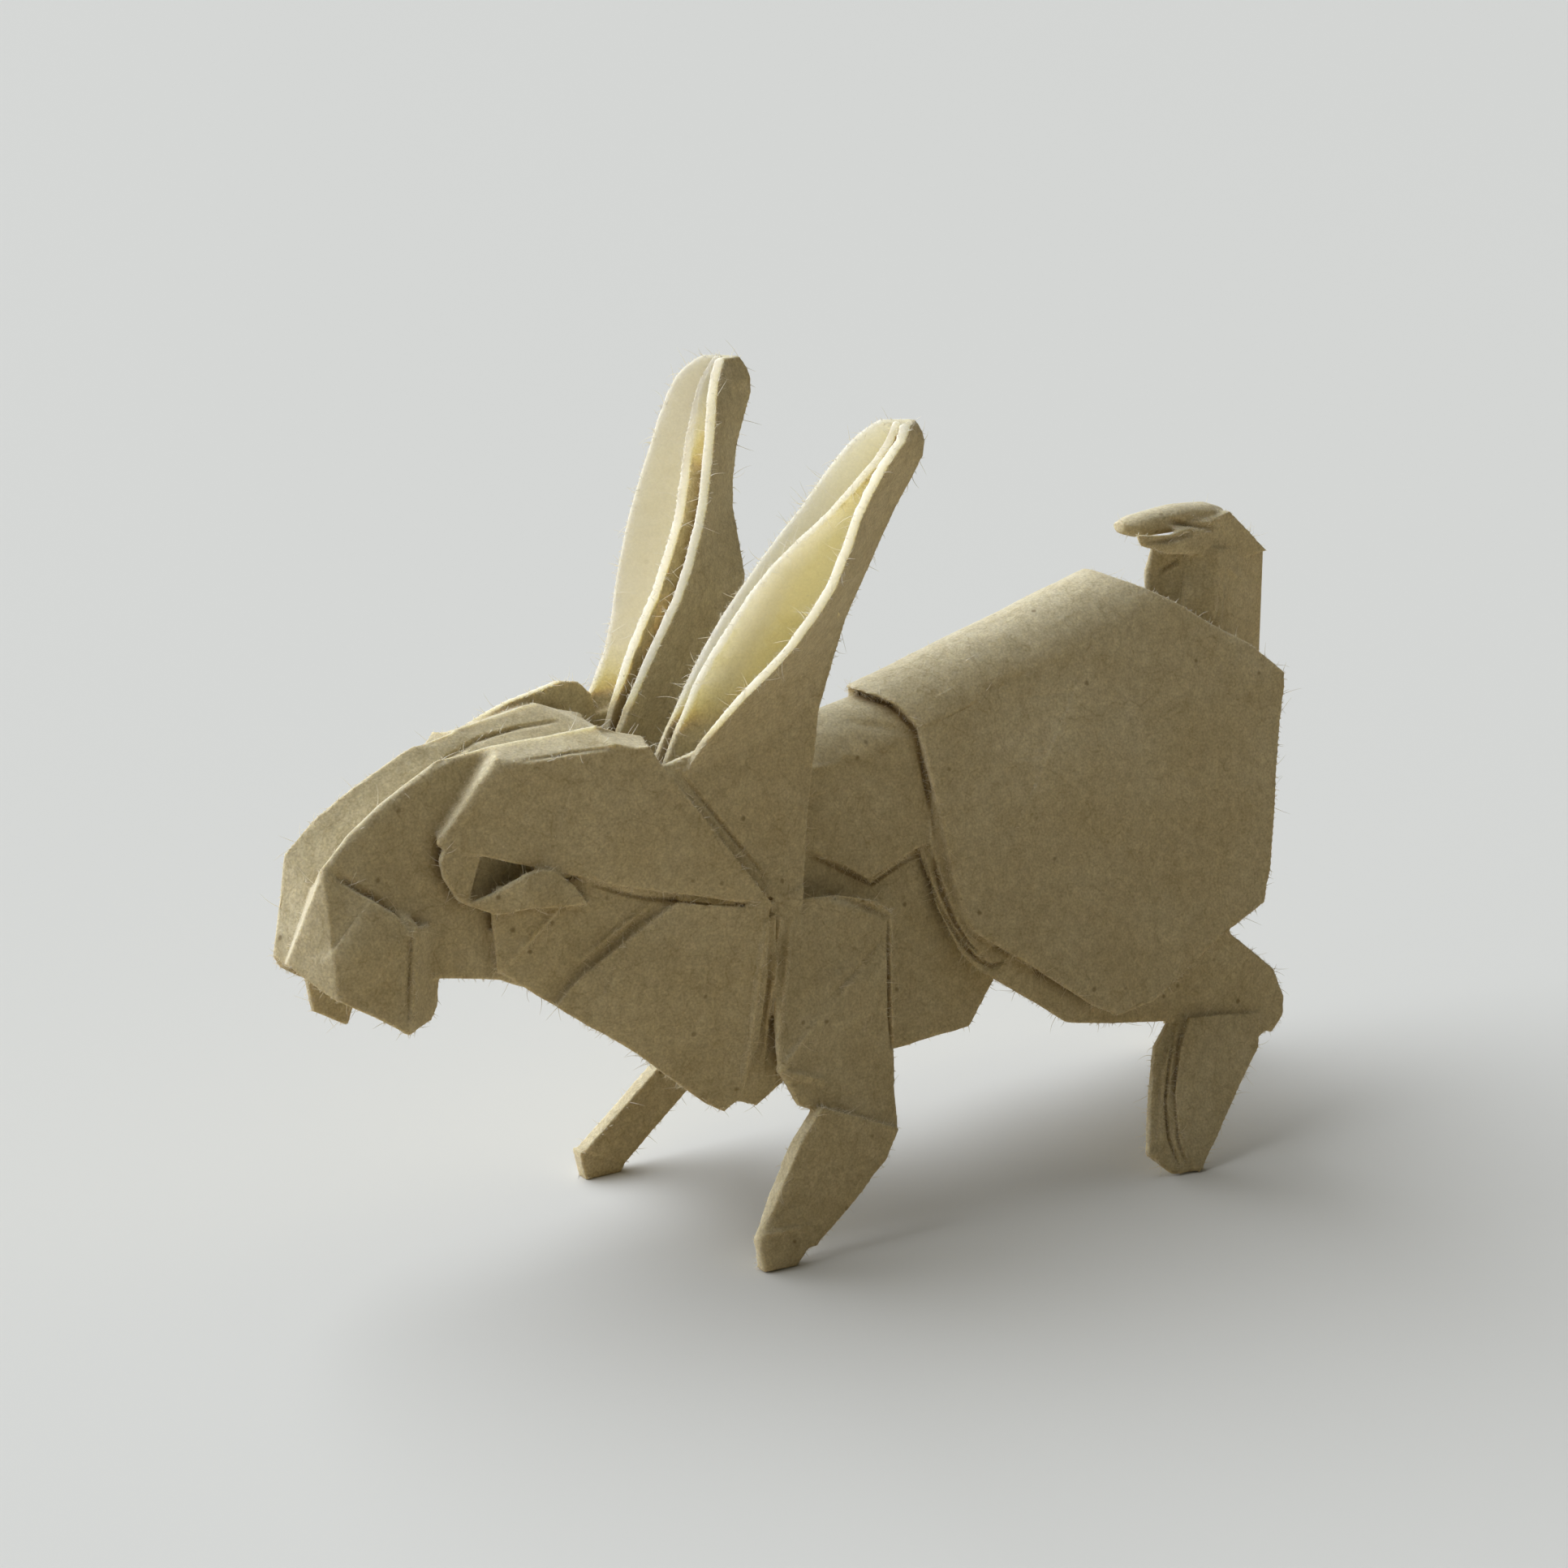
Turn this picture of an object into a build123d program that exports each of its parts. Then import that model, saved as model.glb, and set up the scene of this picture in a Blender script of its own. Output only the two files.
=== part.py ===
from build123d import *
import os
from math import atan, sin

# Origami rabbit, folded from one square sheet: nose towards -X, its left side towards -Y, up is +Z

# The sheet: one layer of paper
ply = 0.26
# Body: rump, back and belly, from the shoulder line (x = 0) to the rump
trunk_length = 36.0
trunk_half_width = 9.5
trunk_height = 38.0
hip_round = 3.6
saddle_round = 3.0
# Head and neck: from the neck line forward to the nose, and up from the chest's point
head_length = 30.0
head_half_width = 8.0
head_height = 25.0
# Ears: rise of each, rearward rake, reach out from their foot, and thickness of one folded wall
left_ear_rise = 20.5
right_ear_rise = 22.2
ear_rake = 15.0
ear_reach = 7.9
ear_wall = 0.56
# Tail: reach forward from its back edge, rise, and half the thickness of its curl
tail_length = 13.0
tail_rise = 11.0
tail_half_width = 1.6

# Lean of the two sheets that are bent over the back, as shares of the trunk's half width over its height
hip_lean_share = 1.08
saddle_lean_share = 0.89
# Longest reach of a facet's corner past its edge, in half plies
corner_reach_share = 1.6
# Where the frames of head and tail start, as shares of the trunk
neck_along_share = -0.11
chest_up_share = 0.235
tail_along_share = 1.07
tail_up_share = 0.8


def trunk(along, out, up):
    return Vector(trunk_length * along, -trunk_half_width * out, trunk_height * up)


def head(along, out, up):
    start = trunk(neck_along_share, 0, chest_up_share)
    return start + Vector(-head_length * along, -head_half_width * out, head_height * up)


def tail(along, out, up):
    start = trunk(tail_along_share, 0, tail_up_share)
    return start + Vector(-tail_length * along, -tail_half_width * out, tail_rise * up)


def places(frame, table_shares):
    return [frame(*shares) for shares in table_shares]


def opposite(corners):
    return [Vector(corner.X, -corner.Y, corner.Z) for corner in corners]


def facet(corners, plies=2):
    # One flat facet of the folded sheet, as thick as its layers, reaching half a ply past its fold lines
    centre = sum(corners, Vector()) / len(corners)
    normal = Vector()
    for here, there in zip(corners, corners[1:] + corners[:1]):
        normal += (here - centre).cross(there - centre)
    lie = Plane(origin=centre, x_dir=corners[1] - corners[0], z_dir=normal)
    flat = [lie.to_local_coords(corner) for corner in corners]
    flat = [Vector(corner.X, corner.Y) for corner in flat]
    rim = []
    for before, corner, after in zip(flat[-1:] + flat[:-1], flat, flat[1:] + flat[:1]):
        side_before = (corner - before).normalized().rotate(Axis.Z, -90)
        side_after = (after - corner).normalized().rotate(Axis.Z, -90)
        outward = (side_before + side_after).normalized()
        reach = min(1 / outward.dot(side_before), corner_reach_share)
        rim.append(corner + outward * reach * ply / 2)
    with BuildPart() as leaf:
        with BuildSketch(lie):
            with BuildLine():
                Polyline(rim, close=True)
            make_face()
        extrude(amount=plies * ply / 2, both=True)
    return leaf.part


def flank(crest, bend, lean, drop):
    # How far from the middle a sheet bent over the crest stands, that far below it
    return (drop + bend * (1 / sin(atan(lean)) - 1)) * lean


def beside(crest, bend, lean, spot, layers):
    # The place on the left flank level with a spot in the middle plane, so many layers under the sheet
    front, rear = crest
    drop = (spot - front).cross(rear - front).length / (rear - front).length
    return spot - Vector(0, flank(crest, bend, lean, drop) - layers * ply)


def tent(crest, bend, lean, outline):
    # A sheet bent over the crest line in a soft round, cut to its outline as seen from the side
    front, rear = crest
    spread = flank(crest, bend, lean, trunk_height)
    apex = flank(crest, bend, lean, 0) / lean
    with BuildPart() as bent:
        with BuildSketch(Plane(origin=front, x_dir=(0, 1, 0), z_dir=rear - front)):
            with BuildLine() as section:
                Polyline((-spread, -trunk_height), (0, apex), (spread, -trunk_height))
                fillet(section.vertices().sort_by(Axis.Y)[-1], radius=bend)
                offset(amount=ply, side=Side.BOTH)
            make_face()
        extrude(amount=(rear - front).length)
        with BuildSketch(Plane.XZ):
            with BuildLine():
                Polyline([(corner.X, corner.Z) for corner in outline], close=True)
            make_face()
        extrude(amount=trunk_half_width * 2, both=True, mode=Mode.INTERSECT)
    return bent.part


# Hip: the big rear panel on both sides, one sheet over the back
hip_lean = hip_lean_share * trunk_half_width / trunk_height
hip_crest_shares = [(0.03, 0, 0.81), (1.05, 0, 1.088)]
hip_crest = places(trunk, hip_crest_shares)
hip_outline_shares = [
    (0.075, 0, 0.95), (0.62, 0, 1.1), (0.672, 0, 0.993), (0.775, 0, 0.942), (0.93, 0, 0.855), (1.0, 0, 0.8),
    (0.997, 0, 0.776), (0.944, 0, 0.592), (0.917, 0, 0.48), (0.89, 0, 0.424), (0.8, 0, 0.385),
    (0.62, 0, 0.295), (0.54, 0, 0.284), (0.49, 0, 0.308), (0.35, 0, 0.408), (0.289, 0, 0.447),
    (0.269, 0, 0.461), (0.256, 0, 0.487), (0.244, 0, 0.55), (0.228, 0, 0.695), (0.22, 0, 0.758),
    (0.212, 0, 0.795), (0.186, 0, 0.829), (0.162, 0, 0.843), (0.12, 0, 0.853),
]
hip = tent(hip_crest, hip_round, hip_lean, places(trunk, hip_outline_shares))


def under_hip(along, layers, up):
    return beside(hip_crest, hip_round, hip_lean, trunk(along, 0, up), layers)


# Saddle: the layer in front of the hip, running forward under the ears as the neck
saddle_lean = saddle_lean_share * trunk_half_width / trunk_height
neck_crest_shares = (0.265, 0, 0.77)
saddle_crest_shares = (0.42, 0, 0.872)
saddle_crest = [head(*neck_crest_shares), trunk(*saddle_crest_shares)]
neck_outline_shares = [(0.3, 0, 0.74), (0.3, 0, 1.1)]
saddle_outline_shares = [
    (0.4, 0, 1.1), (0.4, 0, 0.72), (0.247, 0, 0.611), (0.203, 0, 0.603), (0.147, 0, 0.587),
    (0.086, 0, 0.568), (0.047, 0, 0.592), (0.014, 0, 0.605), (-0.047, 0, 0.637),
]
saddle_outline = places(head, neck_outline_shares) + places(trunk, saddle_outline_shares)
saddle = tent(saddle_crest, saddle_round, saddle_lean, saddle_outline)


def under_saddle(along, layers, up):
    return beside(saddle_crest, saddle_round, saddle_lean, trunk(along, 0, up), layers)


# Left side of the body: belly, two pleats along the hip's front edge, and the creased shoulder
belly_low_shares = [
    (-0.14, 0.53, 0.34), (0.12, 0.56, 0.275), (0.29, 0.56, 0.285), (0.35, 0.52, 0.355), (0.35, 0.42, 0.525),
]
belly_top_shares = [(0.305, 0, 0.75), (-0.1, 0, 0.75)]
pleat_inner_shares = [
    (0.205, 4.6, 0.605), (0.23, 4.3, 0.5), (0.26, 3.6, 0.425), (0.285, 3.2, 0.395), (0.31, 2.8, 0.38),
    (0.36, 2.0, 0.385), (0.385, 1.2, 0.44), (0.345, 1.2, 0.685), (0.22, 2.8, 0.685),
]
pleat_outer_shares = [
    (0.22, 2.8, 0.605), (0.248, 2.2, 0.505), (0.258, 2.1, 0.47), (0.28, 1.9, 0.42), (0.375, 1.0, 0.46),
    (0.345, 1.0, 0.685), (0.235, 1.4, 0.685),
]
shoulder_tuck_shares = (0.048, 0.785, 0.515)
shoulder_crease_shares = (0.078, 1.085, 0.13)
elbow_tuck_shares = (0.036, 1.12, 0.04)
shoulder_rear_shares = (0.075, 0.78, 0.465)
shoulder_top_shares = [(-0.015, 0.665, 0.565), (0.06, 0.685, 0.545), (0.09, 0.71, 0.52)]
knee_shares = [(0.068, 0.82, 0.4), (0.06, 0.9, 0.31), (0.055, 1.005, 0.195), (-0.01, 0.99, 0.21)]
crease = [head(*shoulder_crease_shares), trunk(*shoulder_rear_shares)]
body_facets = [
    facet(places(trunk, belly_low_shares) + places(under_saddle, belly_top_shares)),
    facet(places(under_hip, pleat_inner_shares), 1),
    facet(places(under_hip, pleat_outer_shares), 1),
    facet([head(*shoulder_tuck_shares)] + places(trunk, shoulder_top_shares) + crease[::-1]),
    facet(crease + places(trunk, knee_shares) + [head(*elbow_tuck_shares)]),
]

# Left side of the neck: the flap that hangs from the ear, its ridge, the layer under the ears, and a pleat
flap_shares = [
    (0.285, 0.74, 0.89), (-0.09, 0.63, 0.975), (-0.045, 0.725, 0.72), (-0.025, 0.795, 0.535),
    (0.115, 0.82, 0.545),
]
ridge_rear_shares = [(-0.025, 0.8, 0.54), (-0.005, 0.865, 0.425), (0.05, 0.95, 0.085), (0.06, 0.83, 0.52)]
ridge_front_shares = [
    (0.06, 0.83, 0.52), (0.05, 0.95, 0.085), (0.105, 0.905, 0.035), (0.145, 0.86, 0.05), (0.09, 0.87, 0.4),
]
neck_roof_shares = [(0.27, 0, 0.8), (-0.08, 0, 0.82), (-0.02, 0.71, 0.66), (0.2, 0.73, 0.71)]
chest_pleat_shares = [
    (0.06, 0.915, 0.5), (0.06, 0.905, 0.35), (0.08, 0.895, 0.19), (0.12, 0.865, 0.04), (0.2, 0.82, 0.12),
    (0.15, 0.86, 0.45),
]
neck_facets = [
    facet(places(head, shares))
    for shares in (flap_shares, ridge_rear_shares, ridge_front_shares, neck_roof_shares, chest_pleat_shares)
]

# Chest and cheek: two layers that lap, the right ones folded a little higher
chest_shares = [
    (0.5, 0.6, 0.345), (0.35, 0.72, 0.205), (0.21, 0.84, 0.055), (0.175, 0.865, 0.03), (0.145, 0.89, 0.055),
    (0.105, 0.92, 0.195), (0.085, 0.935, 0.355), (0.08, 0.945, 0.52), (0.26, 0.8, 0.56), (0.46, 0.635, 0.4),
]
cheek_shares = [
    (0.605, 0.45, 0.44), (0.5, 0.54, 0.345), (0.46, 0.575, 0.38), (0.26, 0.74, 0.54), (0.255, 0.74, 0.6),
    (0.475, 0.56, 0.64), (0.495, 0.545, 0.575),
]
right_lift_share = 0.07
chest_facets = [facet(places(head, shares)) for shares in (chest_shares, cheek_shares)] + [
    facet([head(along, -out, up + right_lift_share) for along, out, up in shares])
    for shares in (chest_shares, cheek_shares)
]

# Fold points that the face, the nose, the muzzle and the crown share
nose_tip_shares = (1.0, 0.11, 0.52)
bridge_front_shares = (0.95, 0.29, 0.73)
bridge_shares = [bridge_front_shares, (0.895, 0.25, 0.8), (0.82, 0.22, 0.86), (0.69, 0.2, 0.94)]
gutter_shares = [(0.995, 0, 0.51), (0.935, 0, 0.665), (0.875, 0, 0.735), (0.805, 0, 0.8), (0.69, 0, 0.88)]
crown_front_shares = (0.59, 0.27, 0.95)
crown_rear_shares = (0.385, 0.44, 0.975)
crown_neck_shares = (0.285, 0.42, 0.925)
brow_front_shares = (0.6, 0.465, 0.935)
brow_rear_shares = (0.385, 0.66, 0.94)
brow_neck_shares = (0.31, 0.715, 0.935)
gutter_crown_shares = (0.55, 0, 0.9)
gutter_neck_shares = (0.26, 0, 0.89)
muzzle_low_shares = (0.945, 0.45, 0.45)
muzzle_point_shares = (0.82, 0.575, 0.35)
muzzle_corner_shares = (0.79, 0.5, 0.48)
muzzle_top_shares = (0.785, 0.455, 0.575)

# Left side of the head: front of the cheek, brow over the eye with its rolled front, and panel beside the nose
cheek_front_shares = [
    (0.61, 0.47, 0.64), (0.62, 0.46, 0.595), (0.61, 0.46, 0.445), (0.595, 0.47, 0.455), (0.495, 0.57, 0.58),
    (0.495, 0.58, 0.625),
]
brow_shares = [
    brow_front_shares, (0.315, 0.72, 0.94), (0.3, 0.735, 0.91), (0.07, 0.95, 0.53), (0.38, 0.685, 0.625),
    (0.59, 0.505, 0.705), (0.72, 0.39, 0.76), (0.645, 0.44, 0.9),
]
face_shares = bridge_shares + [
    (0.59, 0.205, 0.94), (0.485, 0.23, 0.89), (0.485, 0.4, 0.48), (0.56, 0.43, 0.395), (0.6, 0.42, 0.415),
    (0.82, 0.38, 0.47), (0.905, 0.33, 0.58),
]
brow_roll_shares = [
    brow_front_shares, (0.645, 0.44, 0.9), (0.72, 0.39, 0.76), (0.69, 0.265, 0.775), (0.62, 0.215, 0.925),
    crown_front_shares,
]
face_facets = [
    facet(places(head, shares)) for shares in (cheek_front_shares, brow_shares, brow_roll_shares, face_shares)
]

# Nose: a gutter along the top of the head between the two face panels
rim_shares = [nose_tip_shares] + bridge_shares + [crown_front_shares]
channel_shares = gutter_shares + [gutter_crown_shares]
nose_folds = list(zip(rim_shares, channel_shares))
nose_facets = [
    facet(places(head, [rim, next_rim, next_channel, channel]))
    for (rim, channel), (next_rim, next_channel) in zip(nose_folds, nose_folds[1:])
]

# Muzzle: a flap that bulges out beside the nose and turns under
muzzle_inner_shares = [(0.79, 0.345, 0.605), (0.85, 0.315, 0.645)]
muzzle_under_shares = [(0.76, 0.4, 0.355), (0.735, 0.385, 0.38), (0.725, 0.37, 0.445), (0.75, 0.34, 0.575)]
muzzle_facets = [
    facet(places(head, [bridge_front_shares, nose_tip_shares, muzzle_low_shares])),
    facet(places(head, [
        bridge_front_shares, muzzle_low_shares, muzzle_point_shares, muzzle_corner_shares, muzzle_top_shares,
    ])),
    facet(places(head, [bridge_front_shares, muzzle_top_shares] + muzzle_inner_shares)),
    facet(places(head, [muzzle_top_shares, muzzle_corner_shares, muzzle_point_shares] + muzzle_under_shares)),
]
# The right lip hangs a little lower
lip_shares = [
    (0.89, -0.5, 0.405), (0.88, -0.53, 0.32), (0.81, -0.56, 0.27), (0.785, -0.575, 0.335),
    (0.82, -0.58, 0.385),
]
right_lip = facet(places(head, lip_shares))

# Eye: a rolled front rim and a puckered lower lid under the brow
eye_rim_shares = [
    (0.71, 0.4, 0.755), (0.72, 0.4, 0.725), (0.715, 0.415, 0.685), (0.69, 0.44, 0.63), (0.67, 0.45, 0.615),
    (0.67, 0.42, 0.635), (0.645, 0.43, 0.735),
]
lid_front_shares = [
    (0.67, 0.45, 0.615), (0.62, 0.53, 0.59), (0.565, 0.63, 0.6), (0.57, 0.6, 0.67), (0.63, 0.525, 0.63),
]
lid_rear_shares = [
    (0.565, 0.63, 0.6), (0.445, 0.645, 0.585), (0.475, 0.635, 0.63), (0.515, 0.615, 0.67),
    (0.54, 0.59, 0.675), (0.57, 0.6, 0.67),
]
eye_facets = [facet(places(head, shares)) for shares in (eye_rim_shares, lid_front_shares, lid_rear_shares)]

# Crown: rolled layers between the brow and the gutter
crown_facets = [
    facet(places(head, [crown_front_shares, brow_front_shares, brow_rear_shares, crown_rear_shares])),
    facet(places(head, [crown_rear_shares, brow_rear_shares, brow_neck_shares, crown_neck_shares])),
    facet(places(head, [crown_front_shares, crown_rear_shares, gutter_neck_shares, gutter_crown_shares])),
    facet(places(head, [crown_rear_shares, crown_neck_shares, gutter_neck_shares])),
]

# Ear: three folded walls that open forward and join along the back edge
# Each station: height share, then (rearward, outward) shares of outer, middle and inner rim and back edge
ear_foot_shares = (0.25, 0.45, 0.84)
ear_station_shares = [
    (-0.15, (0.0, 0.22), (0.04, -0.045), (0.05, -0.16), (0.6, 0.115)),
    (0.0, (-0.02, 0.28), (0.02, -0.015), (0.02, -0.16), (0.62, 0.145)),
    (0.24, (0.22, 0.47), (0.17, 0.005), (0.2, -0.175), (0.73, 0.175)),
    (0.41, (0.37, 0.75), (0.32, 0.065), (0.355, -0.155), (0.79, 0.24)),
    (0.585, (0.495, 0.925), (0.475, 0.205), (0.5, -0.025), (0.815, 0.485)),
    (0.755, (0.6, 0.945), (0.64, 0.53), (0.625, 0.205), (0.885, 0.63)),
    (0.9, (0.705, 0.99), (0.765, 0.75), (0.72, 0.42), (0.98, 0.71)),
    (0.965, (0.78, 1.0), (0.82, 0.78), (0.775, 0.53), (0.97, 0.72)),
    (1.0, (0.84, 0.91), (0.855, 0.77), (0.83, 0.63), (0.93, 0.72)),
]
# Where the two pockets end, from the back edge towards the rims
wide_pocket_share = 0.16
narrow_pocket_share = 0.55
# Where sections lie on the smooth curve from one station to the next
curve_part_shares = (0, 0.5)


def curve(before, start, end, after, part):
    # A smooth way from start to end, led by the places before and after them
    bow = before * 2 - start * 5 + end * 4 - after
    swing = (start - end) * 3 + after - before
    return start + (end - before + (bow + swing * part) * part) * part / 2


def smoothed(stations):
    rows = stations[:1] + stations + stations[-1:]
    for before, start, end, after in zip(rows, rows[1:], rows[2:], rows[3:]):
        for part in curve_part_shares:
            yield [curve(*rims, part) for rims in zip(before, start, end, after)]
    yield stations[-1]


def ear(ear_rise):
    foot = head(*ear_foot_shares)
    stations = [
        [foot + Vector(ear_rake * rearward, -ear_reach * out, ear_rise * rise) for rearward, out in rims]
        for rise, *rims in ear_station_shares
    ]
    with BuildPart() as folded:
        for rims in smoothed(stations):
            outer, middle, inner, back = [Vector(rim.X, rim.Y) for rim in rims]
            outer_side, middle_side, inner_side = [
                (rim - back).normalized().rotate(Axis.Z, 90) * ear_wall / 2 for rim in (outer, middle, inner)
            ]
            wide_pocket = back + ((outer + middle) / 2 - back) * wide_pocket_share
            narrow_pocket = back + ((middle + inner) / 2 - back) * narrow_pocket_share
            with BuildSketch(Plane.XY.offset(rims[0].Z)):
                with BuildLine():
                    Polyline([
                        back + outer_side, outer + outer_side, outer - outer_side, wide_pocket,
                        middle + middle_side, middle - middle_side, narrow_pocket,
                        inner + inner_side, inner - inner_side, back - inner_side,
                    ], close=True)
                make_face()
        loft(ruled=True)
    return folded.part


with BuildPart() as right_ear:
    add(ear(right_ear_rise))
    mirror(about=Plane.XZ, mode=Mode.REPLACE)

# Forelegs: the left one a broad shin, the right one folded narrow, each with a small turned-down foot
left_shin_shares = [
    (-0.105, 0.99, 0.25), (0.05, 1.0, 0.19), (0.025, 1.01, 0.145), (-0.125, 1.02, 0.03),
    (-0.18, 1.02, 0.03), (-0.235, 1.02, 0.055), (-0.15, 1.0, 0.2),
]
left_foot_shares = [
    (-0.235, 1.03, 0.055), (-0.14, 1.03, 0.03), (-0.17, 1.02, -0.005), (-0.22, 1.02, -0.005),
]
right_shin_shares = [
    (-0.04, -0.98, 0.23), (0.055, -1.0, 0.195), (-0.045, -0.99, 0.12), (-0.18, -0.99, 0.02),
    (-0.26, -0.99, 0.055), (-0.11, -0.99, 0.165),
]
right_foot_shares = [
    (-0.27, -1.0, 0.05), (-0.18, -1.0, 0.02), (-0.195, -1.0, -0.005), (-0.255, -1.0, -0.005),
]
foreleg_facets = [
    facet(places(trunk, shares), 4)
    for shares in (left_shin_shares, left_foot_shares, right_shin_shares, right_foot_shares)
]

# Left hind leg: a long thigh flap under the hip, and a shank of three layers folded down and forward
thigh_top_shares = [(0.815, 1.2, 0.47), (0.36, 1.2, 0.43)]
left_thigh_shares = [
    (0.315, 0.71, 0.375), (0.46, 0.83, 0.28), (0.56, 0.855, 0.26), (0.79, 0.91, 0.23), (0.91, 0.945, 0.19),
    (0.935, 0.945, 0.215), (0.94, 0.935, 0.245), (0.92, 0.915, 0.295), (0.82, 0.87, 0.37),
]
left_shank_shares = [
    (0.72, 0.86, 0.25), (0.685, 0.88, 0.235), (0.645, 0.925, 0.205), (0.615, 1.015, 0.14),
    (0.585, 1.15, 0.045), (0.615, 1.2, 0.015), (0.64, 1.23, -0.01), (0.685, 1.23, -0.01),
    (0.705, 1.165, 0.035), (0.86, 0.97, 0.175), (0.9, 0.94, 0.195), (0.89, 0.885, 0.235),
]
shank_middle_shares = [
    (0.72, 0.905, 0.25), (0.685, 0.94, 0.22), (0.64, 1.025, 0.165), (0.61, 1.15, 0.075),
    (0.62, 1.225, 0.02), (0.65, 1.265, -0.01), (0.685, 1.265, -0.01), (0.705, 1.2, 0.035),
    (0.86, 1.01, 0.175), (0.89, 0.925, 0.235),
]
shank_outer_shares = [
    (0.72, 0.955, 0.24), (0.685, 1.025, 0.195), (0.65, 1.125, 0.125), (0.64, 1.215, 0.055),
    (0.675, 1.29, 0.0), (0.705, 1.24, 0.035), (0.86, 1.045, 0.175), (0.875, 0.975, 0.225),
]
# Right hind leg: the same flap, stretched back
right_thigh_shares = [
    (0.315, -0.71, 0.375), (0.61, -0.84, 0.32), (0.88, -0.92, 0.26), (0.96, -0.95, 0.25),
    (1.01, -0.93, 0.29), (0.99, -0.92, 0.34), (0.9, -0.89, 0.43),
]
right_shank_shares = [
    (0.9, -0.92, 0.28), (0.99, -0.9, 0.32), (1.01, -0.88, 0.27), (1.135, -0.68, 0.045),
    (1.14, -0.64, -0.01), (1.095, -0.64, -0.01), (1.05, -0.7, 0.05), (0.925, -0.89, 0.22),
]
hind_leg_facets = [
    facet(places(trunk, left_thigh_shares) + places(under_hip, thigh_top_shares)),
    facet(places(trunk, left_shank_shares)),
    facet(places(trunk, shank_middle_shares), 1),
    facet(places(trunk, shank_outer_shares), 1),
    facet(places(trunk, right_thigh_shares) + opposite(places(under_hip, thigh_top_shares))),
    facet(places(trunk, right_shank_shares), 3),
]

# Tail: a puffed strip that comes out between the hips, its end bent forward and rolled up
tail_rear_shares = [(0, 0, 0), (0, 0, 0.66), (0.4, 1.0, 0.72), (0.4, 1.0, -0.05)]
tail_front_shares = [(0.4, 1.0, -0.05), (0.4, 1.0, 0.72), (0.7, 0, 0.8), (0.76, 0, 0.6), (0.72, 0, 0.3)]
tail_root_shares = [(0.69, 1.2, 0.88), (0.68, 1.2, 0.78)]
tail_root = places(under_hip, tail_root_shares) + places(tail, tail_rear_shares[-1:])
tail_band_shares = [
    (0.015, 0.1, 0.66), (0.31, 0.95, 0.93), (0.5, 1.15, 0.885), (0.72, 1.2, 0.86), (0.96, 0.9, 0.9),
    (0.93, 0.9, 0.83), (0.72, 1.1, 0.74), (0.55, 1.1, 0.71), (0.3, 0.85, 0.66),
]
# The roll: each station gives its place and its size, and the section is an open curl
roll_station_shares = [
    (0.95, 0.915, 0.45), (0.86, 0.915, 0.85), (0.62, 0.93, 1.0), (0.4, 0.925, 0.9), (0.29, 0.91, 0.5),
]
roll_section_shares = [
    (0, 0.085), (0.55, 0.075), (0.85, 0.035), (0.8, 0.008), (0.3, 0), (0.8, -0.014), (0.85, -0.045),
    (0.5, -0.085), (-0.4, -0.085), (-0.8, -0.03), (-0.75, 0.05),
]
with BuildPart() as tail_roll:
    for along, up, size in roll_station_shares:
        centre = tail(along, 0, up)
        with BuildSketch(Plane.YZ.offset(centre.X)):
            with BuildLine():
                Polyline([
                    (-tail_half_width * size * out, centre.Z + tail_rise * size * rise)
                    for out, rise in roll_section_shares
                ], close=True)
            make_face()
    loft(ruled=True)
with BuildPart() as tail_fold:
    add(facet(places(tail, tail_rear_shares)))
    add(facet(places(tail, tail_front_shares)))
    add(facet(tail_root))
    mirror(about=Plane.XZ)
    add(facet(places(tail, tail_band_shares)))
    add(tail_roll.part)

# Hood: the layer that stands up behind the right brow
hood_shares = [
    (0.675, -0.4, 0.9), (0.535, -0.47, 0.945), (0.42, -0.57, 0.98), (0.295, -0.675, 1.0),
    (0.25, -0.7, 0.99), (0.22, -0.71, 0.96), (0.21, -0.71, 0.92), (0.25, -0.69, 0.88), (0.6, -0.43, 0.88),
]
hood = facet(places(head, hood_shares))

# The whole folded sheet, with its soles cut level with the floor
with BuildPart() as form:
    add(body_facets + neck_facets + face_facets + nose_facets + muzzle_facets + eye_facets + crown_facets)
    mirror(about=Plane.XZ)
    add([ear(left_ear_rise), right_ear.part, hip, saddle, tail_fold.part, hood, right_lip])
    add(chest_facets + foreleg_facets + hind_leg_facets)
    split(bisect_by=Plane.XY, keep=Keep.TOP)

# Set down with the middle of its box over the origin
box = form.part.bounding_box()
with BuildPart() as folded_rabbit:
    with Locations((-box.center().X, -box.center().Y, -box.min.Z)):
        add(form.part)
folded_rabbit.part.label = "folded_rabbit"
os.makedirs("parts", exist_ok=True)
export_step(folded_rabbit.part, "parts/folded_rabbit.step")
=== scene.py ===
import math
import random

import bpy
import numpy as np
from mathutils import Matrix, Vector, noise


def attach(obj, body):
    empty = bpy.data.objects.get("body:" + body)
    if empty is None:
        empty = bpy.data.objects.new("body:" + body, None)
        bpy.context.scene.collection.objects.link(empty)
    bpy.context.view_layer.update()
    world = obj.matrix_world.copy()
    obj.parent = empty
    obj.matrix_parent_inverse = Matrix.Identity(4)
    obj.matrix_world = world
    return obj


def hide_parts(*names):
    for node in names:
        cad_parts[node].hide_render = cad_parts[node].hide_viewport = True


# Lengths are in metres, unless a name ends in _MM or _mm
MM = 0.001

# Camera, as the photograph was taken
VIEW_AZIMUTH = math.radians(-34)
VIEW_ELEVATION = math.radians(15)
VIEW_DISTANCE = 0.2
VIEW_TARGET = Vector((-0.00343, 0.00032, 0.027))
SENSOR_MM = 36.0
LENS_MM = 74.5

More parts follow.
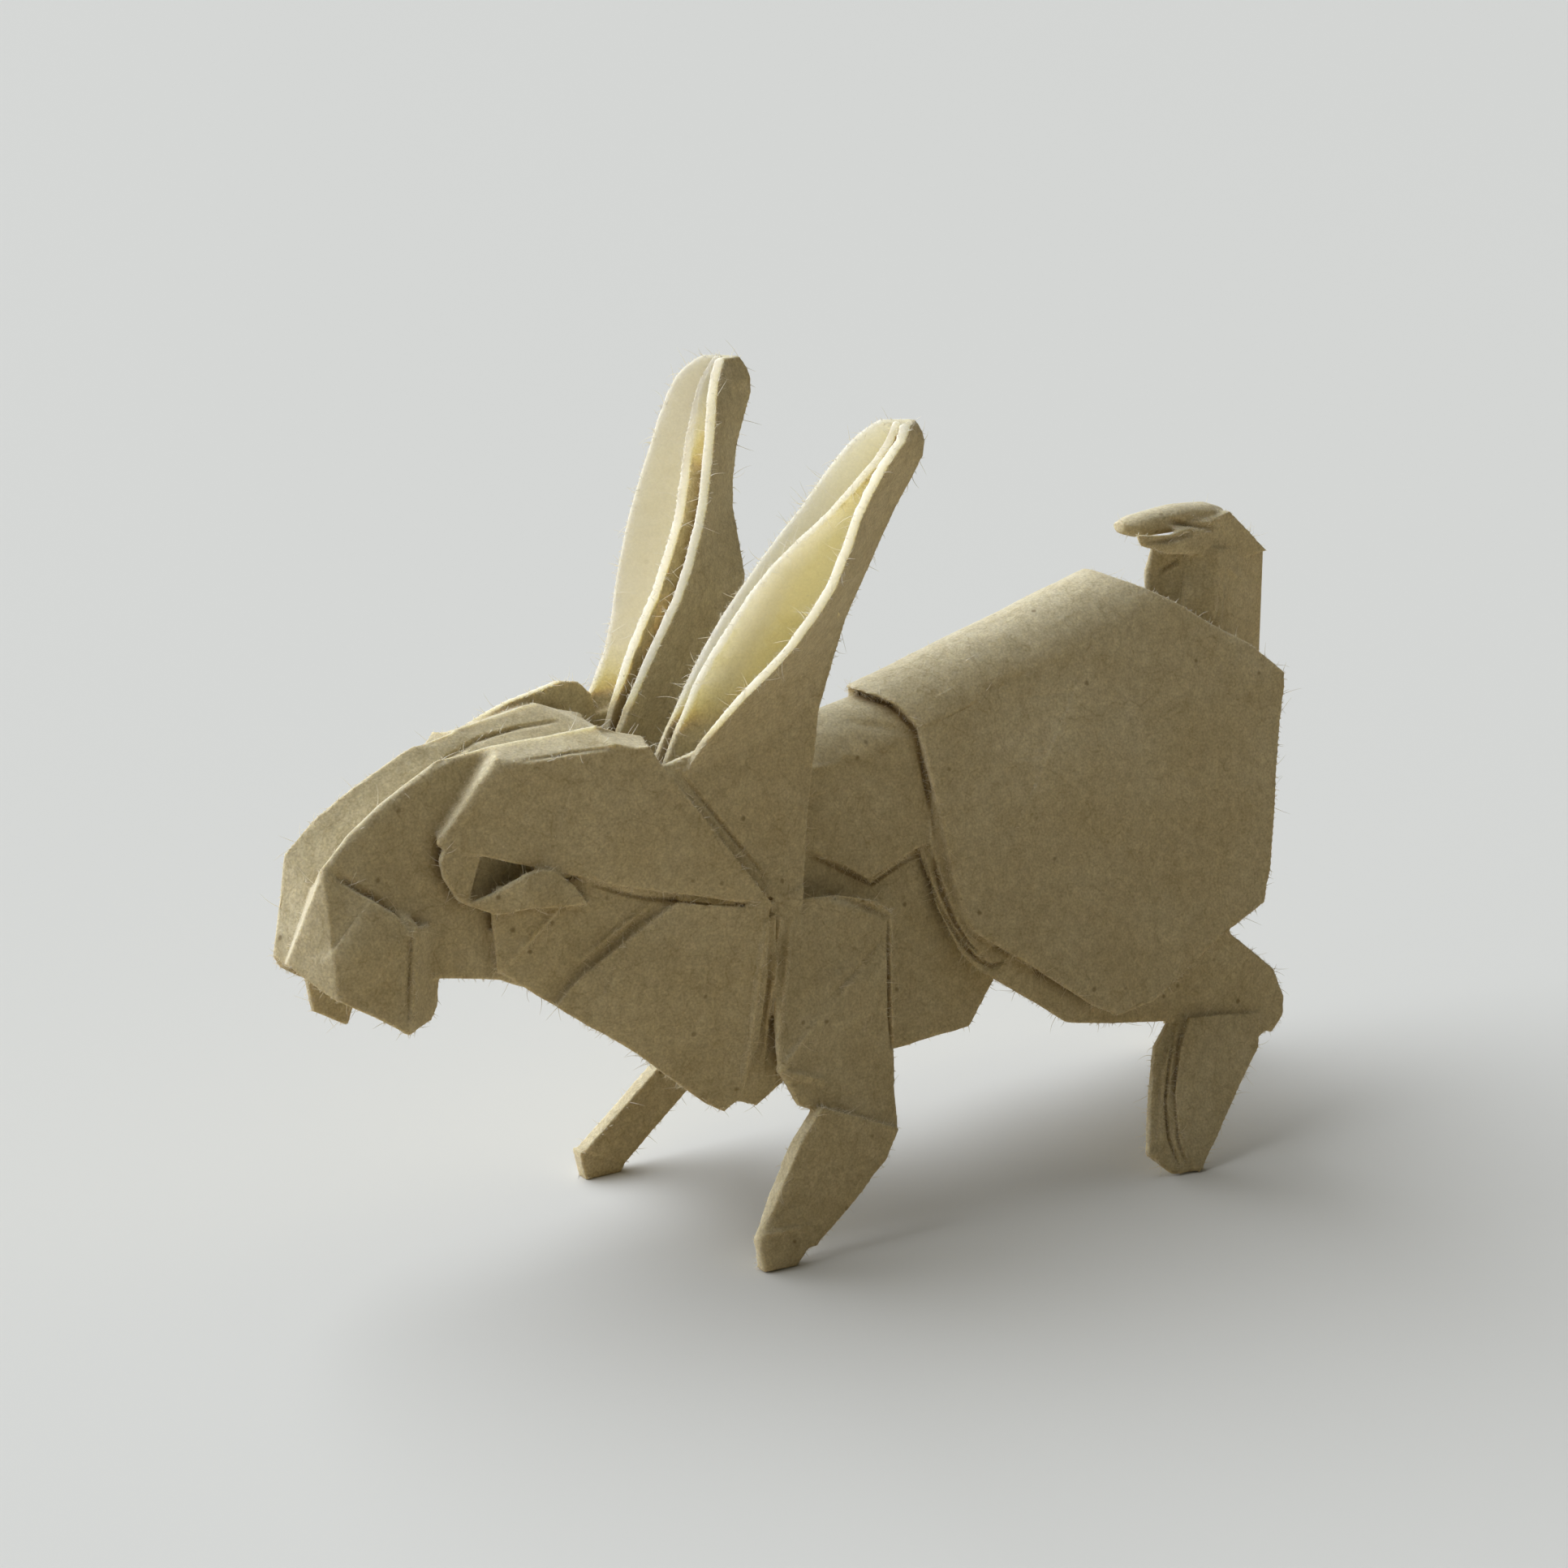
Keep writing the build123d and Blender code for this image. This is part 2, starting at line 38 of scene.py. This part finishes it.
# One broad window on the left, a little behind the rabbit
# The pale floor throws warm light back, and the room is lighter towards its ceiling
LIGHT_AZIMUTH = VIEW_AZIMUTH + math.radians(-112)
LIGHT_ELEVATION = math.radians(40)
LIGHT_SPREAD = math.radians(86)
LIGHT_ENERGY = 3.95
LIGHT_COLOUR = (0.98, 1.0, 1.03)
FLOOR_COLOUR = (0.7, 0.71, 0.7)
BOUNCE_COLOUR = (0.58, 0.49, 0.345)
ROOM_COLOUR = (1.0, 0.93, 0.74)
ROOM_STRENGTH = (0.01, 0.22)
FLOOR_SIDE = 12

# The paper, the fibres on it and the specks of bark in it
PAPER_COLOUR = (0.96, 0.885, 0.645)
PAPER_SHADE = (0.89, 0.8, 0.55)
FIBRE_COLOUR = (0.85, 0.77, 0.56)
SPECK_COLOUR = (0.16, 0.1, 0.04)
SPECK_SHARE = 0.55
WHITE = (1, 1, 1)
BLACK = (0, 0, 0)
# How far the painted shade inside the folds reaches
HOLLOW_REACH_MM = 0.9
FELT_MM = 0.05
DENT_MM = 0.12

# The softened sheet, and its slow unevenness as wave lengths and heights, which fade out at the feet
VOXEL_MM = 0.11
SMOOTH_STEPS = 3
SHEET_TRIANGLES = 190000
WAVE_MM = [(14.0, 0.26), (5.0, 0.1), (2.1, 0.035), (1.0, 0.018)]
WAVE_SHIFTS = [Vector((0, 0, 0)), Vector((9.3, -1.5, -7.9)), Vector((6.3, 0.2, -2.7))]
FEET_MM = 2.0

# Creases pressed into the sheet: the photograph's pixels along them, height and half width
PHOTO_SIDE = 1932
CREASE_STEPS = 8
CREASE_REACH = 3
CREASE_FADE = 0.4
CREASES_MM = [
    # Broad swells of the panels
    ([(1290, 930), (1420, 1010)], 0.4, 6.0),
    ([(690, 1012), (810, 1038)], 0.25, 2.6),
    ([(750, 1215), (860, 1260)], 0.3, 3.0),
    ([(425, 1150), (480, 1195)], 0.35, 2.0),
    ([(1035, 1190), (1055, 1260)], 0.2, 2.2),
    # Muzzle flap
    ([(413, 1080), (450, 1100), (489, 1122), (512, 1146)], -0.3, 0.22),
    ([(509, 1152), (508, 1205), (506, 1262)], -0.24, 0.15),
    # Crown, brow, cheek and chest
    ([(530, 945), (585, 912), (640, 897), (690, 890)], -0.25, 0.16),
    ([(640, 938), (700, 927), (760, 921)], -0.2, 0.13),
    ([(833, 948), (887, 1014), (943, 1084)], -0.22, 0.12),
    ([(730, 1091), (797, 1107), (870, 1114), (935, 1113)], -0.24, 0.12),
    ([(692, 1117), (630, 1188)], 0.18, 0.22),
    ([(812, 1108), (712, 1188)], 0.18, 0.18),
    # Pleats below the neck flap
    ([(946, 1136), (914, 1342)], 0.24, 0.17),
    ([(961, 1128), (934, 1342)], 0.24, 0.17),
    ([(974, 1122), (952, 1332)], 0.22, 0.17),
    # Shoulder: its top, its raw edge, its folds and the pinch at its foot
    ([(1010, 1100), (1045, 1107), (1072, 1118), (1096, 1128)], -0.32, 0.26),
    ([(1094, 1132), (1094, 1190), (1095, 1250), (1100, 1292)], -0.32, 0.1),
    ([(1092, 1150), (1014, 1237)], -0.16, 0.26),
    ([(1056, 1196), (1030, 1224)], 0.14, 0.22),
    ([(1010, 1250), (962, 1318)], 0.2, 0.22),
    ([(964, 1322), (1018, 1333)], 0.26, 0.26),
    # Saddle: its lower edge and the slack in its back
    ([(990, 1052), (1043, 1073), (1073, 1088), (1101, 1069), (1130, 1053)], -0.26, 0.12),
    ([(1040, 892), (1132, 905)], -0.14, 0.3),
    ([(1030, 930), (1085, 940)], 0.1, 0.4),
    # Hip: its front edge, the layers that lie under it and the puckers over its back
    ([(1046, 852), (1098, 871), (1128, 900), (1136, 935), (1145, 978), (1155, 1036)], -0.32, 0.13),
    ([(1137, 1050), (1149, 1092), (1168, 1131), (1188, 1162), (1204, 1182), (1222, 1191), (1245, 1185)],
     -0.3, 0.11),
    ([(1149, 1047), (1160, 1092), (1177, 1133), (1195, 1163), (1208, 1176)], -0.3, 0.11),
    ([(1180, 792), (1222, 850)], 0.12, 0.8),
    ([(1222, 778), (1256, 836)], 0.1, 0.8),
    # Puffed tail and its rolled end
    ([(1455, 735), (1500, 735)], 0.55, 1.6),
    ([(1396, 668), (1440, 664), (1472, 656)], -0.3, 0.2),
    ([(1440, 641), (1496, 651)], -0.3, 0.2),
    ([(1428, 706), (1452, 690)], -0.25, 0.2),
    ([(1512, 700), (1531, 719)], 0.15, 0.2),
    # Layers along the hind shank, and the front foot
    ([(1448, 1270), (1437, 1352), (1441, 1400), (1455, 1436)], -0.28, 0.11),
    ([(1456, 1272), (1447, 1350), (1452, 1400), (1463, 1432)], -0.28, 0.11),
    ([(941, 1522), (1002, 1509)], 0.2, 0.2),
    ([(958, 1500), (985, 1470)], -0.12, 0.25),
]

# Places where the folds are rounder, as the photograph's pixels and a radius
# They are the nose, the crown, the tail and the feet
ROUND_STEPS = 24
ROUND_SPOTS_MM = [
    ((470, 1020), 4.0),
    ((570, 930), 5.0),
    ((680, 895), 4.0),
    ((1450, 655), 5.0),
    ((1480, 730), 4.0),
    ((955, 1530), 3.0),
    ((1458, 1430), 2.5),
]

# The ears' rims are rolled: how far they swell, and the bulge that counts as a rim
RIM_STEPS = 8
RIM_MM = 0.16
RIM_BULGE_MM = 0.14

# The ears lie above this height and ahead of a line that leans back
# More light comes through their walls as these turn forward, from EAR_TURN's first X normal to its second
EAR_FOOT_MM = 32.5
EAR_BACK_MM = -1.0
EAR_LEAN = 0.6
EAR_BLEND_MM = 3.0
EAR_TURN = (0.15, -0.25)
GLOW_MM = (0.18, 9.0)
# Painted glow: the ears' pockets are tinted towards this colour, by up to this share
PAINTED_GLOW_COLOUR = (1.0, 0.88, 0.52)
PAINTED_GLOW_SHARE = 0.65

# Short nap all over the paper, and longer loose fibres
# Each has a count, lengths, a radius, steps and a share that grows off the folds
NAP_MM = (15500, (0.1, 0.36), 0.02, 2, 0.12)
STRAY_MM = (5600, (0.25, 1.4), 0.02, 5, 0.02)
FIBRE_SIDES = 3
FIBRE_TILT = 0.9
FIBRE_BEND = 0.5
FIBRE_TAPER = 0.75
FIBRE_SHORTNESS = 3
FOLD_GAIN = 4

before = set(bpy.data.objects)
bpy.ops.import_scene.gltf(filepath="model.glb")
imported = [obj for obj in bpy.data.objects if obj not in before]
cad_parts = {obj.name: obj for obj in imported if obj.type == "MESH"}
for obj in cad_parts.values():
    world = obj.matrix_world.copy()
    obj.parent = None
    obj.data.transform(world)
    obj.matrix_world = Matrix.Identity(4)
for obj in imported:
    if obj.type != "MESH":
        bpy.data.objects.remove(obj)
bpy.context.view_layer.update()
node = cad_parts["folded_rabbit"]


def new_object(name, mesh):
    obj = bpy.data.objects.new(name, mesh)
    bpy.context.scene.collection.objects.link(obj)
    return obj


def applied(obj):
    # The object's mesh with its modifiers worked in
    depsgraph = bpy.context.evaluated_depsgraph_get()
    mesh = bpy.data.meshes.new_from_object(obj.evaluated_get(depsgraph))
    obj.modifiers.clear()
    old = obj.data
    obj.data = mesh
    bpy.data.meshes.remove(old)
    return mesh


def wave(point):
    # A slow, smooth push that moves both faces of a layer alike
    push = Vector()
    for length, height in WAVE_MM:
        push += Vector([noise.noise(point / length + shift) for shift in WAVE_SHIFTS]) * height
    return push


def sheet_points(mesh):
    count = len(mesh.vertices)
    places = np.empty(count * 3)
    mesh.vertices.foreach_get("co", places)
    normals = np.empty(count * 3)
    mesh.vertices.foreach_get("normal", normals)
    return places.reshape(-1, 3), normals.reshape(-1, 3)


def edge_ends(mesh):
    ends = np.empty(len(mesh.edges) * 2, dtype=int)
    mesh.edges.foreach_get("vertices", ends)
    return ends.reshape(-1, 2)


def seen_place(sheet, pixel):
    # Where the camera sees a pixel of the photograph on the sheet
    camera = bpy.context.scene.camera
    across = (pixel[0] / PHOTO_SIDE - 0.5) * SENSOR_MM / LENS_MM
    up = (0.5 - pixel[1] / PHOTO_SIDE) * SENSOR_MM / LENS_MM
    aim = (camera.rotation_euler.to_matrix() @ Vector((across, up, -1))).normalized()
    hit, place, normal, _ = sheet.ray_cast(camera.location / MM, aim)
    return (np.array(place), np.array((normal - aim).normalized())) if hit else None


def pixels_along(corners):
    pixels = []
    for start, end in zip(corners, corners[1:]):
        for step in range(CREASE_STEPS):
            share = step / CREASE_STEPS
            pixels.append([a + (b - a) * share for a, b in zip(start, end)])
    return pixels + [corners[-1]]


def press_creases(sheet):
    # Ridges, or grooves where the height is negative, that fade out at both ends
    places, _ = sheet_points(sheet.data)
    moved = places.copy()
    bpy.context.view_layer.update()
    for corners, height, width in CREASES_MM:
        line = [seen_place(sheet, pixel) for pixel in pixels_along(corners)]
        found = [spot for spot in line if spot]
        spots = np.array([place for place, _ in found])
        low = spots.min(axis=0) - CREASE_REACH * width
        high = spots.max(axis=0) + CREASE_REACH * width
        near = np.all((places > low) & (places < high), axis=1)
        nearest = np.full(near.sum(), np.inf)
        push = np.zeros((near.sum(), 3))
        for index, ((place, lift), (after, _)) in enumerate(zip(found, found[1:])):
            gap = places[near] - place
            run = after - place
            along = np.clip(gap @ run / (run @ run), 0, 1)
            away = np.linalg.norm(gap - along[:, None] * run, axis=1)
            closer = away < nearest
            nearest[closer] = away[closer]
            fade = np.sin(np.pi * (index + along[closer]) / (len(found) - 1)) ** CREASE_FADE
            push[closer] = fade[:, None] * lift
        moved[near] += push * (height * np.exp(-(nearest / width) ** 2))[:, None]
    sheet.data.vertices.foreach_set("co", moved.ravel())
    sheet.data.update()


def averaged(values, ends, steps):
    # Each point's value, spread over its neighbours step by step
    count = len(values)
    first, second = ends.T
    shares = np.bincount(ends.ravel(), minlength=count)[:, None]
    for _ in range(steps):
        sums = [
            np.bincount(first, column[second], count) + np.bincount(second, column[first], count)
            for column in values.T
        ]
        values = np.stack(sums, axis=1) / shares
    return values


def ear_share(places):
    # How far each place belongs to the ears, from 0 to 1
    along, height = places[:, 0], places[:, 2] - EAR_FOOT_MM
    above = np.clip(height / EAR_BLEND_MM, 0, 1)
    ahead = np.clip((EAR_LEAN * height + EAR_BACK_MM - along) / EAR_BLEND_MM, 0, 1)
    return above * ahead


def round_folds(sheet):
    # Rounder folds at the spots that were handled most, and rolled rims on the ears
    places, normals = sheet_points(sheet.data)
    ends = edge_ends(sheet.data)
    bpy.context.view_layer.update()
    share = np.zeros(len(places))
    for pixel, radius in ROUND_SPOTS_MM:
        place, _ = seen_place(sheet, pixel)
        away = np.linalg.norm(places - place, axis=1)
        share = np.maximum(share, np.clip(2 - 2 * away / radius, 0, 1))
    moved = places + share[:, None] * (averaged(places, ends, ROUND_STEPS) - places)
    bulge = np.einsum("ij,ij->i", places - averaged(places, ends, RIM_STEPS), normals)
    rim = np.clip(bulge / RIM_BULGE_MM, 0, 1) * ear_share(places)
    moved += normals * (RIM_MM * rim)[:, None]
    sheet.data.vertices.foreach_set("co", moved.ravel())
    sheet.data.update()


def mark_ears(sheet):
    # Writes how far each point belongs to the ears' pockets, whose single walls let the light through,
    # and where their colour gets a painted glow
    places, normals = sheet_points(sheet.data)
    back, front = EAR_TURN
    open_share = np.clip((normals[:, 0] - back) / (front - back), 0, 1)
    layer = sheet.data.attributes.new("ear", "FLOAT", "POINT")
    layer.data.foreach_set("value", (ear_share(places) * open_share).astype(np.float32))


def softened_sheet():
    # The folded sheet with soft, slightly puffed folds and the small unevenness of handmade paper
    mesh = node.data.copy()
    mesh.materials.clear()
    mesh.transform(Matrix.Scale(1 / MM, 4))
    sheet = new_object("folded_sheet", mesh)
    voxels = sheet.modifiers.new("voxels", "REMESH")
    voxels.mode = "VOXEL"
    voxels.voxel_size = VOXEL_MM * 1
    soften = sheet.modifiers.new("soften", "SMOOTH")
    soften.factor = 0.5
    soften.iterations = SMOOTH_STEPS
    mesh = applied(sheet)
    round_folds(sheet)
    press_creases(sheet)
    thin = sheet.modifiers.new("thin", "DECIMATE")
    thin.ratio = min(1.0, SHEET_TRIANGLES / (2 * len(mesh.polygons)))
    mesh = applied(sheet)
    for vertex in mesh.vertices:
        push = wave(vertex.co)
        push.z *= min(1.0, max(0.0, vertex.co.z / FEET_MM))
        vertex.co += push
    mark_ears(sheet)
    mesh.transform(Matrix.Scale(MM, 4))
    mesh.shade_smooth()
    return sheet


def fibres(name, sheet, sizes_mm, seed):
    # Fibres that stand off the paper, most of them along its folds and edges
    fibre_count, (low, high), radius_mm, steps, flat_share = sizes_mm
    mesh = sheet.data
    places, normals = sheet_points(mesh)
    ends = edge_ends(mesh)
    turn = 1 - np.einsum("ij,ij->i", normals[ends[:, 0]], normals[ends[:, 1]])
    sharp = np.zeros(len(places))
    np.maximum.at(sharp, ends[:, 0], turn)
    np.maximum.at(sharp, ends[:, 1], turn)
    weight = flat_share + np.clip(sharp * FOLD_GAIN, 0, 1)
    chosen = np.random.default_rng(seed).choice(len(places), fibre_count, p=weight / weight.sum())
    roll = random.Random(seed)
    points = []
    faces = []
    for index in chosen:
        centre = Vector(places[index])
        aside = Vector([roll.gauss(0, 1) for _ in range(3)]).normalized()
        heading = (Vector(normals[index]) + aside * FIBRE_TILT).normalized()
        bend = Vector([roll.gauss(0, 1) for _ in range(3)]) * FIBRE_BEND
        length = (low + (high - low) * roll.random() ** FIBRE_SHORTNESS) * MM
        across = heading.orthogonal().normalized()
        side = heading.cross(across)
        first = len(points)
        for step in range(steps + 1):
            radius = radius_mm * MM * (1 - FIBRE_TAPER * step / steps)
            for corner in range(FIBRE_SIDES):
                angle = 2 * math.pi * corner / FIBRE_SIDES
                point = centre + (across * math.cos(angle) + side * math.sin(angle)) * radius
                points.append((point.x, point.y, max(point.z, 0)))
            centre = centre + heading * (length / steps)
            heading = (heading + bend / steps).normalized()
        for step in range(steps):
            for corner in range(FIBRE_SIDES):
                a = first + FIBRE_SIDES * step + corner
                b = first + FIBRE_SIDES * step + (corner + 1) % FIBRE_SIDES
                faces.append((a, b, b + FIBRE_SIDES, a + FIBRE_SIDES))
    fuzz = bpy.data.meshes.new(name)
    fuzz.from_pydata(points, [], faces)
    fuzz.shade_smooth()
    return new_object(name, fuzz)


def cloud(tree, scale, detail, rough):
    # Soft noise in the object's own space, with its scale per metre
    place = tree.nodes.new("ShaderNodeTexCoord")
    texture = tree.nodes.new("ShaderNodeTexNoise")
    texture.inputs["Scale"].default_value = scale
    texture.inputs["Detail"].default_value = detail
    texture.inputs["Roughness"].default_value = rough
    tree.links.new(place.outputs["Object"], texture.inputs["Vector"])
    return texture.outputs["Fac"]


def ramp(tree, source, low, high, dark, light):
    steps = tree.nodes.new("ShaderNodeValToRGB")
    steps.color_ramp.elements[0].position = low
    steps.color_ramp.elements[1].position = high
    steps.color_ramp.elements[0].color = (*dark, 1)
    steps.color_ramp.elements[1].color = (*light, 1)
    tree.links.new(source, steps.inputs["Fac"])
    return steps


def scaled(tree, share, low, high):
    # A share from 0 to 1, brought to a range
    span = tree.nodes.new("ShaderNodeMapRange")
    span.inputs["To Min"].default_value = low
    span.inputs["To Max"].default_value = high
    tree.links.new(share, span.inputs["Value"])
    return span.outputs["Result"]


def times(tree, base, layer):
    product = tree.nodes.new("ShaderNodeMix")
    product.data_type = "RGBA"
    product.blend_type = "MULTIPLY"
    product.inputs["Factor"].default_value = 1.0
    tree.links.new(base, product.inputs["A"])
    tree.links.new(layer, product.inputs["B"])
    return product.outputs["Result"]


def tinted(tree, base, share, colour):
    blend = tree.nodes.new("ShaderNodeMix")
    blend.data_type = "RGBA"
    blend.inputs["B"].default_value = (*colour, 1)
    tree.links.new(share, blend.inputs["Factor"])
    tree.links.new(base, blend.inputs["A"])
    return blend.outputs["Result"]


def strands(tree, scale, width, dark):
    # Long pulp fibres in the sheet: the thin winding lines where a cloud crosses its middle value
    lines = ramp(tree, cloud(tree, scale, 1.5, 0.4), 0.5 - width, 0.5 + width, WHITE, WHITE)
    lines.color_ramp.elements.new(0.5).color = (*dark, 1)
    return lines.outputs["Color"]


def pulp_colour(tree, colour, shade):
    # Uneven pulp: broad warm clouds, with finer mottling, grain and long fibres over them
    broad = ramp(tree, cloud(tree, 260, 4, 0.6), 0.35, 0.68, shade, colour)
    fine = ramp(tree, cloud(tree, 1500, 5, 0.7), 0.32, 0.68, (0.78, 0.76, 0.72), WHITE)
    grain = ramp(tree, cloud(tree, 6500, 2, 0.6), 0.3, 0.7, (0.72, 0.71, 0.68), WHITE)
    mottled = times(tree, broad.outputs["Color"], fine.outputs["Color"])
    mottled = times(tree, mottled, grain.outputs["Color"])
    mottled = times(tree, mottled, strands(tree, 420, 0.012, (0.88, 0.86, 0.82)))
    return times(tree, mottled, strands(tree, 760, 0.014, (0.9, 0.88, 0.84)))


def painted_fold_shade_and_edge_highlight(tree, base):
    # Painted shade: the paper is darkened to a warm brown deep inside its folds; painted highlight: flat
    # paper is dimmed a little, so its convex edges stay lighter
    depth = tree.nodes.new("ShaderNodeAmbientOcclusion")
    depth.only_local = True
    depth.samples = 4
    depth.inputs["Distance"].default_value = HOLLOW_REACH_MM * MM
    painted_hollow_shade = ramp(tree, depth.outputs["AO"], 0.3, 0.95, (0.5, 0.4, 0.27), WHITE)
    outline = tree.nodes.new("ShaderNodeNewGeometry")
    edges = ramp(tree, outline.outputs["Pointiness"], 0.5, 0.6, (0.88, 0.88, 0.88), WHITE)
    return times(tree, times(tree, base, painted_hollow_shade.outputs["Color"]), edges.outputs["Color"])


def speckled(tree, base):
    # Sparse dark specks of bark
    place = tree.nodes.new("ShaderNodeTexCoord")
    cells = tree.nodes.new("ShaderNodeTexVoronoi")
    cells.inputs["Scale"].default_value = 520
    tree.links.new(place.outputs["Object"], cells.inputs["Vector"])
    specks = ramp(tree, cells.outputs["Distance"], 0.05, 0.11, WHITE, BLACK)
    rare = ramp(tree, cells.outputs["Color"], 0.45, 0.47, BLACK, WHITE)
    shown = tree.nodes.new("ShaderNodeMath")
    shown.operation = "MULTIPLY"
    tree.links.new(specks.outputs["Color"], shown.inputs[0])
    tree.links.new(rare.outputs["Color"], shown.inputs[1])
    return tinted(tree, base, scaled(tree, shown.outputs["Value"], 0, SPECK_SHARE), SPECK_COLOUR)


def felted_normal(tree):
    # Felted surface: two sizes of soft relief
    felt = tree.nodes.new("ShaderNodeBump")
    felt.inputs["Strength"].default_value = 0.5
    felt.inputs["Distance"].default_value = FELT_MM * MM
    tree.links.new(cloud(tree, 2600, 6, 0.75), felt.inputs["Height"])
    dents = tree.nodes.new("ShaderNodeBump")
    dents.inputs["Strength"].default_value = 0.6
    dents.inputs["Distance"].default_value = DENT_MM * MM
    tree.links.new(cloud(tree, 650, 3, 0.5), dents.inputs["Height"])
    tree.links.new(felt.outputs["Normal"], dents.inputs["Normal"])
    return dents.outputs["Normal"]


def plain_paper(name, colour):
    material = bpy.data.materials.new(name)
    material.use_nodes = True
    surface = material.node_tree.nodes["Principled BSDF"]
    surface.inputs["Roughness"].default_value = 0.95
    surface.inputs["Specular IOR Level"].default_value = 0.15
    surface.inputs["Sheen Weight"].default_value = 0.12
    surface.inputs["Sheen Roughness"].default_value = 0.6
    surface.inputs["Subsurface Weight"].default_value = 0.85
    surface.inputs["Subsurface Radius"].default_value = (1.0, 0.86, 0.58)
    surface.inputs["Subsurface Scale"].default_value = GLOW_MM[0] * MM
    surface.inputs["Base Color"].default_value = (*colour, 1)
    return material


def grained_paper(name, colour, shade):
    material = plain_paper(name, colour)
    tree = material.node_tree
    surface = tree.nodes["Principled BSDF"]
    ear = tree.nodes.new("ShaderNodeAttribute")
    ear.attribute_name = "ear"
    glow = scaled(tree, ear.outputs["Fac"], GLOW_MM[0] * MM, GLOW_MM[1] * MM)
    # The paper's own colour, with painted shade in its folds and a painted highlight on its edges, then
    # specks
    base = speckled(tree, painted_fold_shade_and_edge_highlight(tree, pulp_colour(tree, colour, shade)))
    # Painted backlight glow: paper in the ears' pockets is tinted lighter and yellower, as if lit from
    # behind
    base = tinted(tree, base, scaled(tree, ear.outputs["Fac"], 0, PAINTED_GLOW_SHARE), PAINTED_GLOW_COLOUR)
    tree.links.new(glow, surface.inputs["Subsurface Scale"])
    tree.links.new(base, surface.inputs["Base Color"])
    tree.links.new(felted_normal(tree), surface.inputs["Normal"])
    return material


def towards(azimuth, elevation):
    # Azimuth 0 looks along +Y, so what stands there is on the -Y side
    level = math.cos(elevation)
    return Vector((math.sin(azimuth) * level, -math.cos(azimuth) * level, math.sin(elevation)))


def floor_material():
    # Pale to the camera, and a little warmer in the light that it throws back
    material = bpy.data.materials.new("pale_floor")
    material.use_nodes = True
    nodes = material.node_tree.nodes
    links = material.node_tree.links
    surface = nodes["Principled BSDF"]
    surface.inputs["Roughness"].default_value = 0.9
    surface.inputs["Specular IOR Level"].default_value = 0.1
    path = nodes.new("ShaderNodeLightPath")
    seen = nodes.new("ShaderNodeMix")
    seen.data_type = "RGBA"
    seen.inputs["A"].default_value = (*BOUNCE_COLOUR, 1)
    seen.inputs["B"].default_value = (*FLOOR_COLOUR, 1)
    links.new(path.outputs["Is Camera Ray"], seen.inputs["Factor"])
    links.new(seen.outputs["Result"], surface.inputs["Base Color"])
    return material


def dim_room():
    world = bpy.data.worlds.new("studio")
    world.use_nodes = True
    tree = world.node_tree
    room = tree.nodes["Background"]
    room.inputs["Color"].default_value = (*ROOM_COLOUR, 1)
    place = tree.nodes.new("ShaderNodeTexCoord")
    split = tree.nodes.new("ShaderNodeSeparateXYZ")
    rise = tree.nodes.new("ShaderNodeMapRange")
    rise.interpolation_type = "SMOOTHSTEP"
    rise.inputs["To Min"].default_value = ROOM_STRENGTH[0]
    rise.inputs["To Max"].default_value = ROOM_STRENGTH[1]
    tree.links.new(place.outputs["Generated"], split.inputs["Vector"])
    tree.links.new(split.outputs["Z"], rise.inputs["Value"])
    tree.links.new(rise.outputs["Result"], room.inputs["Strength"])
    return world


def set_stage():
    bpy.ops.mesh.primitive_plane_add(size=FLOOR_SIDE, location=(0, 0, 0))
    floor = bpy.context.active_object
    floor.name = "floor"
    floor.data.materials.append(floor_material())
    bpy.context.scene.world = dim_room()
    lamp = bpy.data.lights.new("window", "SUN")
    lamp.energy = LIGHT_ENERGY
    lamp.angle = LIGHT_SPREAD
    lamp.color = LIGHT_COLOUR
    window = bpy.data.objects.new("window", lamp)
    window.rotation_euler = towards(LIGHT_AZIMUTH, LIGHT_ELEVATION).to_track_quat("Z", "Y").to_euler()
    bpy.context.scene.collection.objects.link(window)


def set_camera():
    lens = bpy.data.cameras.new("camera")
    lens.sensor_width = SENSOR_MM
    lens.lens = LENS_MM
    lens.clip_start = 0.01
    camera = bpy.data.objects.new("camera", lens)
    aim = towards(VIEW_AZIMUTH, VIEW_ELEVATION)
    camera.location = VIEW_TARGET + aim * VIEW_DISTANCE
    camera.rotation_euler = aim.to_track_quat("Z", "Y").to_euler()
    bpy.context.scene.collection.objects.link(camera)
    bpy.context.scene.camera = camera
    bpy.context.scene.view_settings.view_transform = "Standard"


set_camera()
set_stage()

sheet = softened_sheet()
sheet.data.materials.append(grained_paper("handmade_paper", PAPER_COLOUR, PAPER_SHADE))
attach(sheet, "root")
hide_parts("folded_rabbit")

fibre_paper = plain_paper("paper_fibre", FIBRE_COLOUR)
for name, sizes_mm, seed in [("paper_nap", NAP_MM, 7), ("loose_fibres", STRAY_MM, 11)]:
    fuzz = fibres(name, sheet, sizes_mm, seed)
    fuzz.data.materials.append(fibre_paper)
    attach(fuzz, "root")
